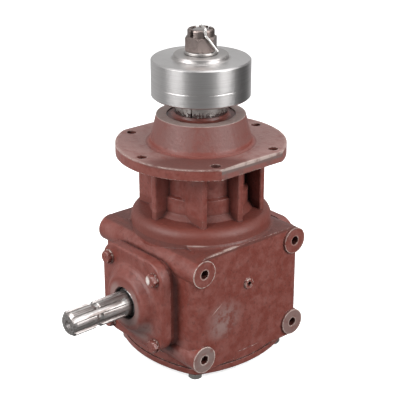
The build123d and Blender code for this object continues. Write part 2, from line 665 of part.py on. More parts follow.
def tooth_sketch(plane, scale, virtual_r):
    """One involute tooth of the virtual spur gear, on a plane square to the pitch cone."""
    pressure = radians(PRESSURE_ANGLE)
    base_r = virtual_r * cos(pressure)
    tip_r = virtual_r + MODULE
    root_r = virtual_r - 1.35 * MODULE
    half_pitch = (pi * MODULE / 2 - BACKLASH) / 2 / virtual_r + involute(pressure)
    start_r = max(base_r, root_r)
    flank = []
    for step in range(4):
        radius = start_r + (tip_r - start_r) * step / 3
        flank_pressure = atan(sqrt(max((radius / base_r) ** 2 - 1, 0)))
        angle = half_pitch - involute(flank_pressure)
        flank.append((scale * radius * sin(angle), scale * (radius * cos(angle) - virtual_r)))
    foot = (flank[0][0], scale * (root_r - virtual_r))
    with BuildSketch(plane) as section:
        with BuildLine():
            Polyline((-foot[0], foot[1]), foot, flank[0])
            Spline(*flank)
            Line(flank[-1], (-flank[-1][0], flank[-1][1]))
            Spline(*[(-x, y) for x, y in reversed(flank)])
            Line((-flank[0][0], flank[0][1]), (-foot[0], foot[1]))
        make_face()
    return section.sketch


def bevel_gear(teeth, pitch_angle, bore_r, hub_r, hub_height, key):
    """A straight bevel gear about Z with its apex at the origin and a tooth centred on +X."""
    across = (cos(pitch_angle), -sin(pitch_angle))
    pitch = (CONE_DISTANCE * sin(pitch_angle), CONE_DISTANCE * cos(pitch_angle))
    root = (pitch[0] - 1.2 * MODULE * across[0], pitch[1] - 1.2 * MODULE * across[1])
    back = (root[0] - 4 * across[0], root[1] - 4 * across[1])
    toe = (root[0] * TOE_SCALE, root[1] * TOE_SCALE)
    virtual_r = CONE_DISTANCE * tan(pitch_angle)
    with BuildPart() as tooth:
        for scale in (1, TOE_SCALE):
            plane = Plane(
                origin=(pitch[0] * scale, 0, pitch[1] * scale), x_dir=(0, 1, 0),
                z_dir=(-sin(pitch_angle), 0, -cos(pitch_angle)),
            )
            add(tooth_sketch(plane, scale, virtual_r))
        loft(ruled=True)
    with BuildPart() as gear:
        blank = [
            (bore_r, toe[1]), toe, root, back, (hub_r, back[1]), (hub_r, hub_height), (bore_r, hub_height),
        ]
        add(turned(blank))
        with PolarLocations(0, teeth):
            add(tooth.part)
        with Locations((bore_r, 0, 0)):
            Box(2 * key, 2 * key, 3 * CONE_DISTANCE, mode=Mode.SUBTRACT)
    return gear.part


pinion_frame = Plane(origin=(0, 0, INPUT_Z), x_dir=(0, -1, 0), z_dir=(0, 0, 1))
with BuildPart(pinion_frame) as bevel_pinion:
    add(bevel_gear(OUTPUT_TEETH, OUTPUT_ANGLE, PINION_SEAT_R, 36, LOWER_CONE_Z - INPUT_Z, PINION_KEY))
save(bevel_pinion.part, "bevel_pinion")

half_tooth = pi / INPUT_TEETH  # turns the gear so that a gap faces the pinion's tooth
gear_frame = Plane(
    origin=(0, 0, INPUT_Z), x_dir=(sin(half_tooth), 0, cos(half_tooth)), z_dir=(0, -1, 0),
)
with BuildPart(gear_frame) as bevel_gear_wheel:
    add(bevel_gear(INPUT_TEETH, pi / 2 - OUTPUT_ANGLE, GEAR_SEAT_R, 38, GEAR_BACK_Y, GEAR_KEY))
save(bevel_gear_wheel.part, "bevel_gear")

# ---------------------------------------------------------------- keys

with BuildPart(gear_frame) as gear_key:
    with Locations((GEAR_SEAT_R, 0, (GEAR_BACK_Y + GEAR_FRONT_Y) / 2)):
        Box(2 * GEAR_KEY, 2 * GEAR_KEY, GEAR_BACK_Y - GEAR_FRONT_Y - 4)
save(gear_key.part, "gear_key")

with BuildPart(pinion_frame) as pinion_key:
    with Locations((PINION_SEAT_R, 0, (PINION_FRONT_Z + LOWER_CONE_Z) / 2 - INPUT_Z)):
        Box(2 * PINION_KEY, 2 * PINION_KEY, 36)
save(pinion_key.part, "pinion_key")

with BuildPart() as hub_key:
    with Locations((HUB_SEAT_R, 0, (HUB_BOTTOM_Z + HUB_TOP_Z) / 2)):
        Box(2 * HUB_KEY, 2 * HUB_KEY, 40)
save(hub_key.part, "hub_key")

# ---------------------------------------------------------------- input shaft assembly

with BuildPart() as input_shaft:
    # Splined stub, seal journal, gear seat and rear journal, turned about the input axis
    add(
        turned(
            [
                (0, SPLINE_END_Y), (SPLINE_R - SPLINE_CHAMFER, SPLINE_END_Y),
                (SPLINE_R, SPLINE_END_Y + SPLINE_CHAMFER),
                (SPLINE_R, SPLINE_INNER_Y - 3), (JOURNAL_R, SPLINE_INNER_Y), (JOURNAL_R, -GEAR_BACK_Y),
                (GEAR_SEAT_R, -GEAR_BACK_Y), (GEAR_SEAT_R, -GEAR_FRONT_Y), (GEAR_COLLAR_R, -GEAR_FRONT_Y),
                (GEAR_COLLAR_R, -GEAR_FRONT_Y + 7), (GEAR_SEAT_R, -GEAR_FRONT_Y + 9),
                (GEAR_SEAT_R, CONE_BACK_Y), (JOURNAL_R, CONE_BACK_Y), (JOURNAL_R, CUP_BACK_Y - 2),
                (JOURNAL_R - 1.5, CUP_BACK_Y - 0.5), (0, CUP_BACK_Y - 0.5),
            ],
            INPUT_PLANE, INPUT_AXIS,
        )
    )
    # Grooves between the splines, which rise out of the shaft before the seal journal
    with BuildSketch(end_plane(-1, -SPLINE_END_Y)):
        Circle(SPLINE_R + 4)
        Circle(SPLINE_ROOT_R, mode=Mode.SUBTRACT)
        with PolarLocations(0, SPLINES, start_angle=SPLINE_TURN):
            with Locations((SPLINE_R, 0)):
                Rectangle(2 * SPLINE_R, SPLINE_WIDTH, mode=Mode.SUBTRACT)
    extrude(amount=SPLINE_END_Y - SPLINE_INNER_Y + 4, mode=Mode.SUBTRACT)
    runout_y = SPLINE_INNER_Y - 4 - SPLINE_RUNOUT
    groove_depth = SPLINE_R - SPLINE_ROOT_R
    add(
        turned(
            [
                (0, runout_y), (SPLINE_ROOT_R, runout_y),
                (SPLINE_ROOT_R + groove_depth * 0.1, runout_y + 4),
                (SPLINE_ROOT_R + groove_depth * 0.4, runout_y + 8), (SPLINE_R, runout_y + 12.5),
                (SPLINE_R, SPLINE_INNER_Y - 3), (0, SPLINE_INNER_Y - 3),
            ],
            INPUT_PLANE, INPUT_AXIS,
        )
    )
    # Detent groove for a driveline's locking balls, and the centre drilling
    with BuildSketch(INPUT_PLANE):
        with Locations((SPLINE_ROOT_R + DETENT_R, SPLINE_END_Y + DETENT_OFFSET)):
            Circle(DETENT_R)
    revolve(axis=INPUT_AXIS, mode=Mode.SUBTRACT)
    with Locations(end_plane(-1, -SPLINE_END_Y)):
        CounterSinkHole(2.5, 5.5, depth=12, counter_sink_angle=60)
    add(gear_key.part, mode=Mode.SUBTRACT)
save(input_shaft.part, "input_shaft")

save(input_ring(JOURNAL_R, 28, -CONE_BACK_Y, -GEAR_BACK_Y), "input_spacer")

# ---------------------------------------------------------------- output shaft assembly

with BuildPart() as output_shaft:
    add(
        turned(
            [
                (0, PINION_NUT_Z - 2), (PINION_THREAD_R - 1, PINION_NUT_Z - 2),
                (PINION_THREAD_R, PINION_NUT_Z - 1),
                (PINION_THREAD_R, PINION_FRONT_Z), (PINION_SEAT_R, PINION_FRONT_Z),
                (PINION_SEAT_R, LOWER_CONE_Z),
                (LOWER_SEAT_R, LOWER_CONE_Z), (LOWER_SEAT_R, LOWER_NOSE_Z), (UPPER_SEAT_R, LOWER_NOSE_Z),
                (UPPER_SEAT_R, HUB_BOTTOM_Z), (HUB_SEAT_R, HUB_BOTTOM_Z), (HUB_SEAT_R, HUB_TOP_Z),
                (THREAD_R, HUB_TOP_Z + 2), (THREAD_R, SHAFT_TOP_Z - 1.5),
                (THREAD_R - 1.5, SHAFT_TOP_Z), (0, SHAFT_TOP_Z),
            ]
        )
    )
    add(hub_key.part, mode=Mode.SUBTRACT)
    add(pinion_key.part, mode=Mode.SUBTRACT)
    with BuildSketch(COTTER_PLANE):
        Circle(COTTER_R + 0.4)
    extrude(amount=2 * THREAD_R, both=True, mode=Mode.SUBTRACT)
save(output_shaft.part, "output_shaft")

save(ring(UPPER_SEAT_R, UPPER_SEAT_R + 5, LOWER_NOSE_Z, UPPER_NOSE_Z), "output_spacer")

with BuildPart() as seal_collar:
    # Slotted collar that the output seal runs on, clamped between the upper cone and the hub
    add(ring(UPPER_SEAT_R, COLLAR_R, UPPER_CONE_Z, HUB_BOTTOM_Z))
    chamfer(seal_collar.edges().filter_by(GeomType.CIRCLE).sort_by(Axis.Z)[-1:], 0.5)
    slot_direction = (cos(SLOT_ANGLE), sin(SLOT_ANGLE), 0)
    with BuildSketch(Plane(origin=(0, 0, COLLAR_SLOT_Z), x_dir=slot_direction, z_dir=(0, 0, 1))):
        with Locations((COLLAR_R, 0)):
            Rectangle(7, COLLAR_SLOT)
    extrude(amount=HUB_BOTTOM_Z - COLLAR_SLOT_Z, mode=Mode.SUBTRACT)
save(seal_collar.part, "seal_collar")

with BuildPart() as blade_hub:
    add(
        turned(
            [
                (HUB_SEAT_R, HUB_BOTTOM_Z), (HUB_R - 1.8, HUB_BOTTOM_Z), (HUB_R, HUB_BOTTOM_Z + 1.8),
                (HUB_R, HUB_LINE_Z - 0.4), (HUB_R - 0.2, HUB_LINE_Z), (HUB_R, HUB_LINE_Z + 0.4),
                (HUB_R, HUB_TOP_Z - 1.8), (HUB_R - 1.8, HUB_TOP_Z), (HUB_BOSS_R + 3, HUB_TOP_Z),
                (HUB_BOSS_R + 0.9, HUB_TOP_Z + 0.9), (HUB_BOSS_R, HUB_TOP_Z + 3),
                (HUB_BOSS_R, HUB_BOSS_Z - 1),
                (HUB_BOSS_R - 1, HUB_BOSS_Z), (HUB_SEAT_R, HUB_BOSS_Z),
            ]
        )
    )
    add(hub_key.part, mode=Mode.SUBTRACT)
save(blade_hub.part, "blade_hub")

with BuildPart() as hub_washer:
    add(ring(THREAD_R, WASHER_R, HUB_BOSS_Z, WASHER_TOP_Z))
    fillet(hub_washer.edges().filter_by(GeomType.CIRCLE).group_by(SortBy.RADIUS)[-1], 1.4)
save(hub_washer.part, "hub_washer")

with BuildPart() as castle_nut:
    with BuildSketch(Plane.XY.offset(WASHER_TOP_Z)):
        RegularPolygon(NUT_R, 6, rotation=NUT_TURN)
    extrude(amount=NUT_HEX_TOP_Z - WASHER_TOP_Z)
    add(
        turned(
            [
                (0, WASHER_TOP_Z), (NUT_R * 0.92, WASHER_TOP_Z), (NUT_R, WASHER_TOP_Z + 1.2),
                (NUT_R, NUT_HEX_TOP_Z - 2.2), (CROWN_R, NUT_HEX_TOP_Z), (0, NUT_HEX_TOP_Z),
            ]
        ),
        mode=Mode.INTERSECT,
    )
    add(
        turned(
            [
                (0, WASHER_TOP_Z), (CROWN_R, WASHER_TOP_Z), (CROWN_R, NUT_TOP_Z - 2.2),
                (CROWN_R - 0.7, NUT_TOP_Z - 0.7),
                (CROWN_R - 2.2, NUT_TOP_Z), (0, NUT_TOP_Z),
            ]
        )
    )
    with BuildSketch(Plane.XY.offset(NUT_HEX_TOP_Z)):
        with PolarLocations(CROWN_R, 6, start_angle=NUT_TURN + 30):
            Rectangle(12, NUT_SLOT)
    extrude(amount=NUT_TOP_Z - NUT_HEX_TOP_Z, mode=Mode.SUBTRACT)
    add(ring(0, THREAD_R, WASHER_TOP_Z, NUT_TOP_Z), mode=Mode.SUBTRACT)
save(castle_nut.part, "castle_nut")

with BuildPart() as cotter_pin:
    # A straight run through the shaft, one leg bent up over the crown and one down the nut
    out = COTTER_PLANE.z_dir
    centre = COTTER_PLANE.origin
    side_step = COTTER_PLANE.x_dir
    up = Vector(0, 0, 1)
    runs = [
        [centre, centre + out * 19.6, centre + out * 19.2 + up * 8.6, centre + out * 2 + up * 9.6],
        [centre, centre + out * 19.6 - up * 0.4, centre + out * 22.4 + side_step * 3 - up * 4,
         centre + out * 25.4 + side_step * 14.5 - up * 20.5],
    ]
    for run in runs:
        with BuildLine() as leg:
            FilletPolyline(*run, radius=2)
        with BuildSketch(Plane(origin=leg.line @ 0, z_dir=leg.line % 0)):
            Circle(COTTER_LEG_R)
        sweep(path=leg.line)
    with BuildSketch(COTTER_PLANE.offset(-20)):
        Circle(COTTER_R)
    extrude(amount=36)
    with Locations(Plane(origin=centre - out * 23.5, z_dir=up)):
        Torus(4, 1.7)
save(cotter_pin.part, "cotter_pin")

with BuildPart() as pinion_washer:
    add(ring(PINION_THREAD_R, 24, PINION_FRONT_Z - 3, PINION_FRONT_Z))
save(pinion_washer.part, "pinion_washer")

with BuildPart() as pinion_nut:
    with BuildSketch(Plane.XY.offset(PINION_NUT_Z)):
        RegularPolygon(23, 6)
        Circle(PINION_THREAD_R, mode=Mode.SUBTRACT)
    extrude(amount=PINION_FRONT_Z - 3 - PINION_NUT_Z)
save(pinion_nut.part, "pinion_nut")
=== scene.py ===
import bpy
import json
from math import cos, radians, sin
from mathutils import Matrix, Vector


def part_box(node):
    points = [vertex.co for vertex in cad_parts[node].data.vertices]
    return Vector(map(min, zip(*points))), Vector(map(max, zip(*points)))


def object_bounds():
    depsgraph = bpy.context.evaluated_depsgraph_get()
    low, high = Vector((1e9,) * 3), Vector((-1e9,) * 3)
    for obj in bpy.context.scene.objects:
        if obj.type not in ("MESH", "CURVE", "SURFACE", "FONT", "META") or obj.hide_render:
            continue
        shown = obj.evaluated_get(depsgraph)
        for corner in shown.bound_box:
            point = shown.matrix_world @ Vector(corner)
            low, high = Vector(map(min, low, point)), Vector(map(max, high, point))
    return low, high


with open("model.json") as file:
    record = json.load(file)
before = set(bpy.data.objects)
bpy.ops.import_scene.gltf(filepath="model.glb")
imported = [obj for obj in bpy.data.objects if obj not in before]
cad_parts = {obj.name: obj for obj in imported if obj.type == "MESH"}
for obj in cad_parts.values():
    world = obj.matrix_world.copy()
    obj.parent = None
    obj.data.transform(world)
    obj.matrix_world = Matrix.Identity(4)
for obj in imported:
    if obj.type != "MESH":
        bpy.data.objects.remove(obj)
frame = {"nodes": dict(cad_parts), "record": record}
cad_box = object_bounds()

MM = 0.001

# ---------------------------------------------------------------- places worked out from the frame

FLAT_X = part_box("housing")[1].x
CAP_FACE_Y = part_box("input_cap")[0].y
COLLAR_TOP_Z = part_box("seal_collar")[1].z
MOUNTS = {mount["name"]: mount for mount in frame["record"]["mounts"]}
BOSS_PATTERN = MOUNTS["side_bosses_right"]
BOSS_FACE_X = BOSS_PATTERN["pos_m"][0]
BOSS_Y = BOSS_PATTERN["dims"]["spacing_x_mm"] * MM / 2
BOSS_Z = BOSS_PATTERN["dims"]["spacing_y_mm"] * MM / 2
INPUT_Z = BOSS_PATTERN["pos_m"][2]
FLOOR_Z = cad_box[0].z
CAP_CENTRE = (0, 0, INPUT_Z)
AXIS_CENTRE = (0, 0, 0)

# ---------------------------------------------------------------- shader graph helper


class Finish:
    """One node material: a Principled surface, with short calls for the nodes that the finishes share."""

    def __init__(self, name):
        self.material = bpy.data.materials.new(name)
        self.material.use_nodes = True
        self.tree = self.material.node_tree
        self.tree.nodes.clear()
        self.surface = self.add("ShaderNodeBsdfPrincipled")
        output = self.add("ShaderNodeOutputMaterial")
        self.tree.links.new(self.surface.outputs["BSDF"], output.inputs["Surface"])
        self.place = self.add("ShaderNodeTexCoord").outputs["Object"]

    def add(self, kind, **settings):
        node = self.tree.nodes.new(kind)
        for key, value in settings.items():
            setattr(node, key, value)
        return node

    def feed(self, socket, value):
        if isinstance(value, bpy.types.NodeSocket):
            self.tree.links.new(value, socket)
        elif hasattr(value, "__len__") and socket.type == "RGBA":
            socket.default_value = (*value, 1.0)
        else:
            socket.default_value = value

    def set(self, **values):
        """Sets or links the surface's sockets; an underscore stands for a space."""
        for name, value in values.items():
            self.feed(self.surface.inputs[name.replace("_", " ")], value)

    def math(self, operation, first, second=0.0):
        node = self.add("ShaderNodeMath", operation=operation)
        self.feed(node.inputs[0], first)
        self.feed(node.inputs[1], second)
        return node.outputs[0]

    def times(self, *values):
        product = values[0]
        for value in values[1:]:
            product = self.math("MULTIPLY", product, value)
        return product

    def either(self, *values):
        largest = values[0]
        for value in values[1:]:
            largest = self.math("MAXIMUM", largest, value)
        return largest

    def band(self, value, low, high, start=0.0, end=1.0):
        """A smooth step from start to end as value goes from low to high."""
        node = self.add("ShaderNodeMapRange", interpolation_type="SMOOTHSTEP")
        for socket, item in zip(node.inputs, (value, low, high, start, end)):
            self.feed(socket, item)
        return node.outputs["Result"]

    def mix(self, amount, first, second):
        node = self.add("ShaderNodeMix", data_type="RGBA", clamp_factor=True)
        self.feed(node.inputs[0], amount)
        self.feed(node.inputs[6], first)
        self.feed(node.inputs[7], second)
        return node.outputs[2]

    def noise(self, size, detail=3.0, rough=0.55, stretch=(1, 1, 1), shift=0.0):
        """Fractal noise with lumps of about this size in metres, longer where stretch is above 1."""
        mapping = self.add("ShaderNodeMapping")
        self.feed(mapping.inputs["Vector"], self.place)
        mapping.inputs["Location"].default_value = (shift, shift * 0.7, shift * 1.3)
        mapping.inputs["Scale"].default_value = [1 / (size * part) for part in stretch]
        node = self.add("ShaderNodeTexNoise", noise_dimensions="3D")
        self.feed(node.inputs["Vector"], mapping.outputs["Vector"])
        node.inputs["Scale"].default_value = 1.0
        node.inputs["Detail"].default_value = detail
        node.inputs["Roughness"].default_value = rough
        return node.outputs["Fac"]

    def axis(self, letter):
        """The surface point's own x, y or z in the object's frame."""
        node = self.add("ShaderNodeSeparateXYZ")
        self.feed(node.inputs[0], self.place)
        return node.outputs[letter]

    def spot(self, centre, reach, edge=0.35, turn=(0, 0, 0)):
        """1 inside a turned ellipsoid with these half sizes, falling to 0 over the outer part of it."""
        mapping = self.add("ShaderNodeMapping", vector_type="TEXTURE")
        self.feed(mapping.inputs["Vector"], self.place)
        mapping.inputs["Location"].default_value = centre
        mapping.inputs["Rotation"].default_value = turn
        mapping.inputs["Scale"].default_value = reach
        length = self.add("ShaderNodeVectorMath", operation="LENGTH")
        self.feed(length.inputs[0], mapping.outputs["Vector"])
        return self.band(length.outputs["Value"], 1.0, 1.0 - edge)

    def circle(self, centre, axis):
        """Distance from an axis through centre along x, y or z."""
        reach = [1.0, 1.0, 1.0]
        reach["xyz".index(axis)] = 0.0
        mapping = self.add("ShaderNodeMapping", vector_type="POINT")
        self.feed(mapping.inputs["Vector"], self.place)
        mapping.inputs["Scale"].default_value = reach
        mapping.inputs["Location"].default_value = [-c * s for c, s in zip(centre, reach)]
        length = self.add("ShaderNodeVectorMath", operation="LENGTH")
        self.feed(length.inputs[0], mapping.outputs["Vector"])
        return length.outputs["Value"]

    def closeness(self, inside, reach, samples=4):
        """0 on open faces, rising at convex edges (inside) or in corners (outside) within reach."""
        node = self.add("ShaderNodeAmbientOcclusion", inside=inside, samples=samples)
        node.inputs["Distance"].default_value = reach
        return self.math("SUBTRACT", 1.0, node.outputs["AO"])

    def relief(self, heights, soft_edge=None):
        """Stacks bumps from (height, depth in metres) pairs over an edge that is rounded by soft_edge."""
        normal = None
        if soft_edge:
            node = self.add("ShaderNodeBevel", samples=4)
            node.inputs["Radius"].default_value = soft_edge
            normal = node.outputs["Normal"]
        for height, depth in heights:
            node = self.add("ShaderNodeBump")
            node.inputs["Distance"].default_value = depth
            node.inputs["Strength"].default_value = 1.0
            self.feed(node.inputs["Height"], height)
            if normal is not None:
                self.feed(node.inputs["Normal"], normal)
            normal = node.outputs["Normal"]
        self.feed(self.surface.inputs["Normal"], normal)


# ---------------------------------------------------------------- finishes

CLEAN_PAINT = (0.160, 0.036, 0.026)
PAINT = (0.200, 0.060, 0.048)
WORN_PAINT = (0.235, 0.105, 0.090)
# Dust, also used for a painted sheen on the cap's lower right.
DUST_AND_SHEEN = (0.250, 0.165, 0.152)
BARE_IRON = (0.200, 0.155, 0.142)
# Pale scuffed paint, also used for a painted highlight at the shoulder's foot.
SCUFF_AND_HIGHLIGHT = (0.520, 0.410, 0.370)
# A dark red for the roof, also used as painted shade on the flange's front.
DARK_RED_AND_SHADE = (0.092, 0.028, 0.022)
# Dark grime for the pits, also used as painted shade in corners and crevices.
GRIME_AND_SHADE = (0.022, 0.010, 0.009)
NOSE_PAINT_AND_SHADE = (0.145, 0.060, 0.052)
NOSE_TOP = (0.30, 0.235, 0.215)
SHOULDER_PAINT = (0.130, 0.030, 0.021)
SAWN_IRON = (0.130, 0.100, 0.092)
GLINT = (0.75, 0.70, 0.66)
CHIPPED = (0.60, 0.52, 0.48)


def painted_iron(name, layers=(), scuff=1.0, shine=0.36):
    """Oxide red primer over sand-cast iron: soft grain, scuffed edges and painted shade darkening the
    corners.

    Each layer is (mask, colour, amount, breakup); breakup is how far the patchy noise eats into it.
    """
    f = Finish(name)
    edge = f.closeness(True, 2.4 * MM)
    corner = f.closeness(False, 22 * MM)
    crevice = f.closeness(False, 5 * MM)
    patch = f.noise(13 * MM, 5, 0.62, shift=3.0)
    grain = f.noise(1.6 * MM, 3, 0.6)
    pits = f.noise(4.2 * MM, 2, 0.5, shift=7.0)
    streaks = f.noise(10 * MM, 4, 0.55, stretch=(1, 1, 1.6), shift=5.0)
    colour = f.mix(f.band(patch, 0.34, 0.66), CLEAN_PAINT, PAINT)
    colour = f.mix(f.band(streaks, 0.48, 0.74, 0.0, 0.30), colour, WORN_PAINT)
    colour = f.mix(f.band(grain, 0.50, 0.75, 0.0, 0.18), colour, WORN_PAINT)
    colour = f.mix(f.band(pits, 0.46, 0.26, 0.0, 0.28), colour, GRIME_AND_SHADE)
    worn = 0.0
    for mask, tone, amount, breakup in layers:
        cover = f.times(mask(f), f.band(patch, 0.34, 0.52, 1.0 - breakup, 1.0), amount)
        colour = f.mix(cover, colour, tone)
        worn = f.either(worn, cover)
    # Painted shade: the corners and crevices are darkened, where shade falls.
    colour = f.mix(f.band(corner, 0.30, 0.85, 0.0, 0.72), colour, GRIME_AND_SHADE)
    colour = f.mix(f.band(crevice, 0.35, 0.75, 0.0, 0.70), colour, GRIME_AND_SHADE)
    ragged = f.band(f.noise(5 * MM, 5, 0.7, shift=11.0), 0.46, 0.60)
    scuffs = f.times(f.band(edge, 0.22, 0.46), ragged, scuff)
    colour = f.mix(scuffs, colour, SCUFF_AND_HIGHLIGHT)
    f.set(Base_Color=colour, Metallic=0.0, Specular_IOR_Level=0.5)
    f.set(Roughness=f.band(f.either(worn, f.band(patch, 0.4, 0.8)), 0.0, 1.0, shine, shine + 0.2))
    f.relief([(pits, 0.45 * MM), (grain, 0.16 * MM)], soft_edge=1.4 * MM)
    return f.material


def ring_mask(centre, axis, low, high, soft=1.0 * MM):
    """1 between two radii about an axis."""
    def mask(f):
        distance = f.circle(centre, axis)
        return f.times(f.band(distance, low - soft, low), f.band(distance, high + soft, high))
    return mask


def spot_mask(centre, reach, edge=0.6, turn=(0, 0, 0)):
    return lambda f: f.spot(centre, reach, edge, turn)


def slab_mask(letter, low, high, soft=0.6 * MM):
    """1 between two levels along one axis."""
    def mask(f):
        place = f.axis(letter)
        return f.times(f.band(place, low - soft, low), f.band(place, high + soft, high))
    return mask


def both(*masks):
    return lambda f: f.times(*[mask(f) for mask in masks])


def turned_mask(low_z, high_z, low_r, high_r, soft_z=0.6 * MM, soft_r=1.0 * MM):
    """1 between two levels and two radii about the output axis."""
    return both(slab_mask("Z", low_z, high_z, soft_z), ring_mask(AXIS_CENTRE, "z", low_r, high_r, soft_r))


def flat_mask(f):
    """The two sawn flats of the deck flange."""
    beyond = f.band(f.math("ABSOLUTE", f.axis("X")), FLAT_X - 0.4 * MM, FLAT_X - 0.1 * MM)
    return f.times(beyond, f.band(f.axis("Z"), -17 * MM, -16 * MM))


def steel(
    name, colour, dark, rough, lines=None, stain=0.3, anisotropy=0.0, edges=0.5, uneven=0.12,
    dulled=None, soft=0.5 * MM,
):
    """Bare machined steel with faint stains.

    lines is a (stretch, size, depth, shade) tool mark, and dulled is a mask of a darker, rougher area.
    """
    f = Finish(name)
    stains = f.band(f.noise(9 * MM, 5, 0.65), 0.45, 0.72)
    edge = f.closeness(True, 1.2 * MM)
    tone = f.mix(f.times(stains, stain), colour, dark)
    heights = [(f.noise(0.9 * MM, 2), 0.006 * MM)]
    if lines:
        stretch, size, depth, shade = lines
        marks = f.noise(size, 2, 0.5, stretch)
        heights.append((marks, depth))
        # Dark tool marks; on the splined shaft they are also painted shade for the grooves.
        tone = f.mix(f.band(marks, 0.40, 0.65, 0.0, shade), tone, dark)
    # Convex edges are lightened: edge wear, and a painted highlight along them.
    tone = f.mix(f.band(edge, 0.25, 0.6, 0.0, edges), tone, [min(part * 1.3, 0.9) for part in colour])
    # Painted shade: corners are darkened, where shade falls.
    corner = f.band(f.closeness(False, 3 * MM), 0.35, 0.85, 0.0, 0.75)
    tone = f.mix(corner, tone, [part * 0.25 for part in dark])
    finish = f.band(stains, 0.0, 1.0, rough, rough + uneven)
    if dulled:
        zone = dulled(f)
        tone = f.mix(f.times(zone, 0.8), tone, dark)
        finish = f.math("ADD", finish, f.times(zone, 0.16))
    f.set(Base_Color=tone, Metallic=1.0, Roughness=finish)
    if anisotropy:
        f.surface.inputs["Anisotropic"].default_value = anisotropy
        f.surface.inputs["Anisotropic Rotation"].default_value = 0.25
        tangent = f.add("ShaderNodeTangent", direction_type="RADIAL", axis="Z")
        f.feed(f.surface.inputs["Tangent"], tangent.outputs[0])
    f.relief(heights, soft_edge=soft)
    return f.material


def greasy_collar():
    """The bright seal collar, with a ragged ring of dark grease thrown up from the seal."""
    f = Finish("greasy_collar")
    ragged = f.noise(3.2 * MM, 4, 0.65)
    line = f.math("ADD", f.axis("Z"), f.band(ragged, 0.30, 0.70, -4.5 * MM, 4.5 * MM))
    grease = f.band(line, COLLAR_TOP_Z - 17 * MM, COLLAR_TOP_Z - 19 * MM)
    stains = f.noise(5 * MM, 4, 0.6, shift=4.0)
    bare = f.mix(f.band(stains, 0.45, 0.70, 0.0, 0.6), (0.56, 0.53, 0.51), (0.20, 0.15, 0.13))
    f.set(Base_Color=f.mix(grease, bare, (0.035, 0.014, 0.012)), Metallic=f.band(grease, 0.0, 1.0, 1.0, 0.0))
    f.set(Roughness=f.band(grease, 0.0, 1.0, 0.30, 0.42))
    f.relief([(f.times(grease, ragged), 1.2 * MM), (f.noise(1.0 * MM, 2), 0.01 * MM)], soft_edge=0.4 * MM)
    return f.material


def dull(name, colour, rough):
    """Rubber or oiled paper: dark and soft, with a fine uneven grain."""
    f = Finish(name)
    blotch = f.noise(6 * MM, 3)
    lighter = [part * 1.8 for part in colour]
    f.set(Base_Color=f.mix(f.band(blotch, 0.3, 0.7), colour, lighter), Roughness=rough)
    f.relief([(f.noise(0.8 * MM, 2), 0.05 * MM)], soft_edge=0.4 * MM)
    return f.material


# Each boss: its side, its level, how worn its rim is and how bare its face is.
BOSS_WEAR = ((-1, 1, 0.70, 0.05), (1, 1, 0.35, 0.05), (-1, -1, 0.85, 0.80), (1, -1, 0.60, 0.65))
boss_faces = slab_mask("X", BOSS_FACE_X - 0.8 * MM, BOSS_FACE_X + MM)


def boss_ring(centre, low, high, soft=1.0 * MM):
    """1 between two radii on the face of one boss."""
    return both(boss_faces, ring_mask(centre, "x", low, high, soft))


boss_layers = []
for side, up, rim, face in BOSS_WEAR:
    centre = (0, side * BOSS_Y, INPUT_Z + up * BOSS_Z)
    boss_layers.append((boss_ring(centre, 5 * MM, 19 * MM), BARE_IRON, face, 0.5))
    boss_layers.append((boss_ring(centre, 17.9 * MM, 19.5 * MM, 0.4 * MM), SCUFF_AND_HIGHLIGHT, rim, 0.8))
    boss_layers.append((boss_ring(centre, 6 * MM, 7.6 * MM, 0.5 * MM), SCUFF_AND_HIGHLIGHT, rim * 0.6, 0.6))

# Painted shade on the flange's top at the front, between the nose and the rim.
flange_front_shade = spot_mask((69 * MM, -60 * MM, 0), (98 * MM, 34 * MM, 6 * MM), 0.5, (0, 0, radians(49)))
scratch = spot_mask(
    (100 * MM, -57.5 * MM, -199.5 * MM), (6 * MM, 15 * MM, 0.8 * MM), 0.9, (radians(34), 0, 0),
)
roof_front = spot_mask((99 * MM, -44 * MM, -117.6 * MM), (5 * MM, 40 * MM, 1.8 * MM), 0.7)
# A painted highlight along the foot of the shoulder at the front, where it meets the roof.
shoulder_foot_highlight = spot_mask(
    (66 * MM, -74 * MM, -114 * MM), (34 * MM, 4.5 * MM, 1.5 * MM), 0.7, (0, 0, radians(48)),
)

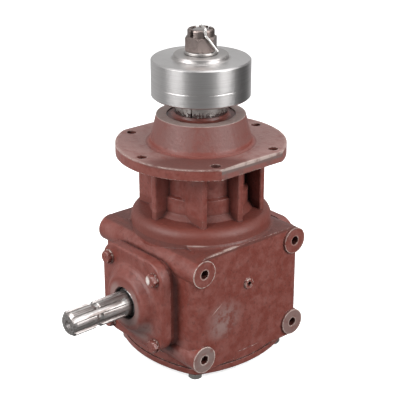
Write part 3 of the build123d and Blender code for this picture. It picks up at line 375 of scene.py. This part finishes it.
housing_layers = [
    (turned_mask(-1 * MM, 1 * MM, 72 * MM, 120 * MM, soft_r=5 * MM), DUST_AND_SHEEN, 0.55, 0.6),
    (flange_front_shade, DARK_RED_AND_SHADE, 0.85, 0.1),
    # The nose's paint, darkened as painted shade against the light both softboxes put on it.
    (turned_mask(9 * MM, 36 * MM, 55 * MM, 75 * MM, soft_z=5 * MM), NOSE_PAINT_AND_SHADE, 0.85, 0.4),
    (turned_mask(0.5 * MM, 4 * MM, 66 * MM, 75 * MM, soft_z=2 * MM), CLEAN_PAINT, 0.8, 0.1),
    (turned_mask(38.6 * MM, 40 * MM, 45 * MM, 62 * MM), NOSE_TOP, 0.85, 0.3),
    (slab_mask("Z", -114 * MM, -84 * MM, 3 * MM), SHOULDER_PAINT, 0.8, 0.3),
    (slab_mask("Z", -121 * MM, -114.5 * MM, 2 * MM), DARK_RED_AND_SHADE, 0.75, 0.4),
    (flat_mask, SAWN_IRON, 0.85, 0.4),
    (spot_mask((100 * MM, -44 * MM, -218 * MM), (8 * MM, 40 * MM, 34 * MM), 0.8), DUST_AND_SHEEN, 0.62, 0.9),
    (spot_mask((100 * MM, -52 * MM, -232 * MM), (8 * MM, 26 * MM, 20 * MM), 0.8), DUST_AND_SHEEN, 0.45, 0.8),
    (scratch, SCUFF_AND_HIGHLIGHT, 0.8, 0.2),
    (roof_front, SCUFF_AND_HIGHLIGHT, 0.65, 0.8),
    (spot_mask((66 * MM, -88 * MM, -264 * MM), (42 * MM, 22 * MM, 8 * MM), 0.8), DUST_AND_SHEEN, 0.55, 0.7),
    (shoulder_foot_highlight, SCUFF_AND_HIGHLIGHT, 0.45, 0.6),
    (turned_mask(-1.2 * MM, 1 * MM, 113.5 * MM, 120 * MM), SCUFF_AND_HIGHLIGHT, 0.18, 0.9),
    (spot_mask((103.5 * MM, 0, -1.5 * MM), (5 * MM, 75 * MM, 3.2 * MM), 0.5), SCUFF_AND_HIGHLIGHT, 0.75, 0.8),
    (both(flat_mask, slab_mask("Z", -16 * MM, -9 * MM, 3 * MM)), PAINT, 0.8, 0.9),
] + boss_layers

cap_front = slab_mask("Y", CAP_FACE_Y - MM, CAP_FACE_Y + 5 * MM)
cap_layers = [
    (both(cap_front, ring_mask(CAP_CENTRE, "y", 21 * MM, 29 * MM, 6 * MM)), DUST_AND_SHEEN, 0.80, 0.35),
    # Pale patches on the cap's lower right, partly dust and partly a painted sheen.
    (spot_mask((28 * MM, -128 * MM, -226 * MM), (26 * MM, 14 * MM, 15 * MM), 0.8), DUST_AND_SHEEN, 0.85, 0.5),
    (spot_mask((22 * MM, -126 * MM, -234 * MM), (34 * MM, 12 * MM, 9 * MM), 0.8), DUST_AND_SHEEN, 0.60, 0.6),
    (spot_mask((18 * MM, -124 * MM, -247 * MM), (24 * MM, 8 * MM, 13 * MM), 0.8), DUST_AND_SHEEN, 0.80, 0.5),
    (spot_mask((0, CAP_FACE_Y, -172 * MM), (40 * MM, 12 * MM, 16 * MM), 0.8), CLEAN_PAINT, 0.85, 0.1),
]

fixing_layers = [
    # A painted glint on the top right cap bolt, and chipped paint beside it.
    (spot_mask((45 * MM, -131 * MM, -153 * MM), (6 * MM, 7 * MM, 8 * MM), 0.6), GLINT, 0.9, 0.9),
    (spot_mask((40 * MM, -126 * MM, -153 * MM), (10 * MM, 4 * MM, 10 * MM), 0.6), CHIPPED, 0.8, 0.9),
]

# Tool marks, as steel() takes them, and the dulled shoulder under the hub's washer. On the splined shaft the
# strong dark streaks along it also paint the shade of the spline grooves.
TURNED = ((80, 80, 1), 0.7 * MM, 0.003 * MM, 0.30)
SPLINED = ((1, 30, 1), 2.4 * MM, 0.02 * MM, 0.85)
hub_shoulder = turned_mask(115.9 * MM, 130 * MM, 20 * MM, 40 * MM)

FINISHES = {
    "housing": painted_iron("housing_paint", housing_layers),
    "cap": painted_iron("cap_paint", cap_layers, scuff=0.3, shine=0.42),
    "cover": painted_iron("cover_paint", scuff=0.4),
    "fixing": painted_iron("fixing_paint", fixing_layers, scuff=1.2, shine=0.26),
    "hub": steel(
        "turned_steel", (0.64, 0.625, 0.62), (0.40, 0.38, 0.37), 0.33, TURNED,
        stain=0.10, anisotropy=0.45, uneven=0.02, dulled=hub_shoulder,
    ),
    "washer": steel("pressed_steel", (0.46, 0.44, 0.425), (0.22, 0.19, 0.175), 0.42, stain=0.5),
    "shaft": steel(
        "splined_steel", (0.50, 0.48, 0.47), (0.15, 0.12, 0.11), 0.40, SPLINED,
        stain=0.35, soft=0.25 * MM,
    ),
    "nut": steel(
        "forged_steel", (0.25, 0.205, 0.19), (0.09, 0.065, 0.058), 0.38,
        stain=0.55, edges=1.0, soft=0.25 * MM,
    ),
    "pin": steel("drawn_wire", (0.74, 0.72, 0.70), (0.36, 0.33, 0.31), 0.34, stain=0.25),
    "bolt": steel("bolt_steel", (0.44, 0.42, 0.40), (0.18, 0.15, 0.13), 0.38, stain=0.5),
    "inner": steel("oiled_steel", (0.50, 0.49, 0.48), (0.22, 0.21, 0.19), 0.24, stain=0.3),
    "collar": greasy_collar(),
    "gasket": dull("gasket_paper", (0.018, 0.010, 0.009), 0.7),
    "rubber": dull("seal_rubber", (0.010, 0.008, 0.008), 0.45),
    "greasy_seal": dull("greasy_seal", (0.075, 0.022, 0.017), 0.36),
}

SLOT_FINISH = {
    "case_paint": "fixing", "gasket_paper": "gasket", "seal_rubber": "rubber", "bolt_steel": "bolt",
    "bearing_steel": "inner", "cage_steel": "inner", "gear_steel": "inner", "inner_steel": "inner",
    "shaft_steel": "shaft", "hub_steel": "hub", "nut_steel": "nut", "pin_steel": "pin",
}
NODE_FINISH = {
    "housing": "housing", "input_cap": "cap", "rear_cap": "cover", "base_cover": "cover",
    "seal_collar": "collar", "output_oil_seal": "greasy_seal", "hub_washer": "washer",
}
slot_of = {part["node"]: part["material_slot"] for part in frame["record"]["subparts"]}
for node, obj in frame["nodes"].items():
    chosen = NODE_FINISH.get(node, SLOT_FINISH[slot_of[node]])
    for slot in obj.material_slots:
        slot.material = FINISHES[chosen]

# ---------------------------------------------------------------- floor, lights and camera


def studio_floor():
    """A plain pale floor under the base bolts' heads."""
    half = 9.0
    mesh = bpy.data.meshes.new("floor")
    corners = [(x * half, y * half, FLOOR_Z) for x, y in ((-1, -1), (1, -1), (1, 1), (-1, 1))]
    mesh.from_pydata(corners, [], [(0, 1, 2, 3)])
    floor = bpy.data.objects.new("floor", mesh)
    bpy.context.scene.collection.objects.link(floor)
    f = Finish("pale_floor")
    f.set(Base_Color=(0.86, 0.86, 0.86), Roughness=0.9, Specular_IOR_Level=0.1)
    f.set(Emission_Color=(1, 1, 1), Emission_Strength=0.62)
    mesh.materials.append(f.material)
    floor.visible_glossy = False
    floor.visible_diffuse = False


def brightness_ramp(tree, direction, towards, reach, ends):
    """A world brightness that goes from ends[0] to ends[1] as the view turns towards a direction."""
    facing = tree.nodes.new("ShaderNodeVectorMath")
    facing.operation = "DOT_PRODUCT"
    facing.inputs[1].default_value = towards
    tree.links.new(direction, facing.inputs[0])
    ramp = tree.nodes.new("ShaderNodeMapRange")
    ramp.interpolation_type = "SMOOTHSTEP"
    for socket, value in zip(ramp.inputs[1:5], (*reach, *ends)):
        socket.default_value = value
    tree.links.new(facing.outputs["Value"], ramp.inputs["Value"])
    return ramp.outputs["Result"]


def studio_world():
    """A dim grey room with a pale backdrop behind the object and a dark gap beside it."""
    backdrop, gap = radians(150), radians(62)
    world = bpy.data.worlds.new("studio")
    world.use_nodes = True
    tree = world.node_tree
    tree.nodes.clear()
    direction = tree.nodes.new("ShaderNodeTexCoord").outputs["Generated"]
    pale = brightness_ramp(tree, direction, (cos(backdrop), sin(backdrop), 0.25), (-0.1, 0.75), (0.24, 0.55))
    dim = brightness_ramp(tree, direction, (cos(gap), sin(gap), 0), (0.55, 0.95), (1.0, 0.25))
    strength = tree.nodes.new("ShaderNodeMath")
    strength.operation = "MULTIPLY"
    tree.links.new(pale, strength.inputs[0])
    tree.links.new(dim, strength.inputs[1])
    shade = tree.nodes.new("ShaderNodeBackground")
    shade.inputs["Color"].default_value = (1, 1, 1, 1)
    tree.links.new(strength.outputs["Value"], shade.inputs["Strength"])
    output = tree.nodes.new("ShaderNodeOutputWorld")
    tree.links.new(shade.outputs["Background"], output.inputs["Surface"])
    bpy.context.scene.world = world


def softbox(name, azimuth, elevation, distance, width, height, power):
    """A rectangular studio light that faces the middle of the object; azimuth is from +X towards +Y."""
    light = bpy.data.lights.new(name, "AREA")
    light.shape = "RECTANGLE"
    light.size = width
    light.size_y = height
    light.energy = power
    lamp = bpy.data.objects.new(name, light)
    bpy.context.scene.collection.objects.link(lamp)
    a, e = radians(azimuth), radians(elevation)
    out = Vector((cos(a) * cos(e), sin(a) * cos(e), sin(e)))
    middle = Vector((0, 0, -0.1))
    lamp.location = middle + out * distance
    lamp.rotation_mode = "QUATERNION"
    lamp.rotation_quaternion = out.to_track_quat("Z", "Y")


def studio_camera():
    """The photograph's viewpoint, round to the right and looking down."""
    azimuth, elevation = radians(49.312), radians(22.38)
    distance, target = 1.557812, Vector((0, 0, -0.087859))
    back = Vector((sin(azimuth) * cos(elevation), -cos(azimuth) * cos(elevation), sin(elevation)))
    data = bpy.data.cameras.new("camera")
    data.sensor_width = 36.0
    data.lens = 101.007
    data.shift_x = -0.00245
    camera = bpy.data.objects.new("camera", data)
    bpy.context.scene.collection.objects.link(camera)
    camera.location = target + back * distance
    camera.rotation_mode = "QUATERNION"
    camera.rotation_quaternion = back.to_track_quat("Z", "Y")
    bpy.context.scene.camera = camera


studio_floor()
studio_world()
softbox("left_softbox", -98, 25, 1.9, 1.25, 1.6, 42)
softbox("right_softbox", 15, 25, 1.9, 1.1, 1.6, 42)
softbox("overhead_softbox", 100, 75, 1.8, 1.6, 1.6, 17)
studio_camera()
bpy.context.scene.view_settings.view_transform = "Standard"
